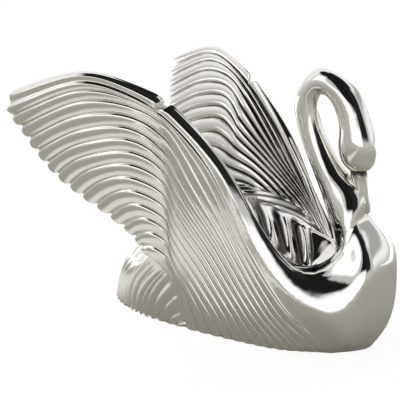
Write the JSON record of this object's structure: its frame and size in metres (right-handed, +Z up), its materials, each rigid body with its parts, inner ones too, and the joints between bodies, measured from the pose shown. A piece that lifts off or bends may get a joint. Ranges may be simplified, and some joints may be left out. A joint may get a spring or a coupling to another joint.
{
  "type": "swan figurine",
  "caption": "Swan figurine with raised fluted wings, an open hollow between them, a curved neck with the bill resting on the breast, and a flat base.",
  "frame": {"origin": "on the flat base, under the middle of the figurine's length and on its plane of symmetry", "axes": "+X the way the swan faces, +Y to its left, +Z up"},
  "size_m": [0.2841, 0.247, 0.2208],
  "materials": {
    "silver_plate": "polished"
  },
  "bodies": {
    "root": {"swan": "silver_plate"}
  },
  "joints": []
}
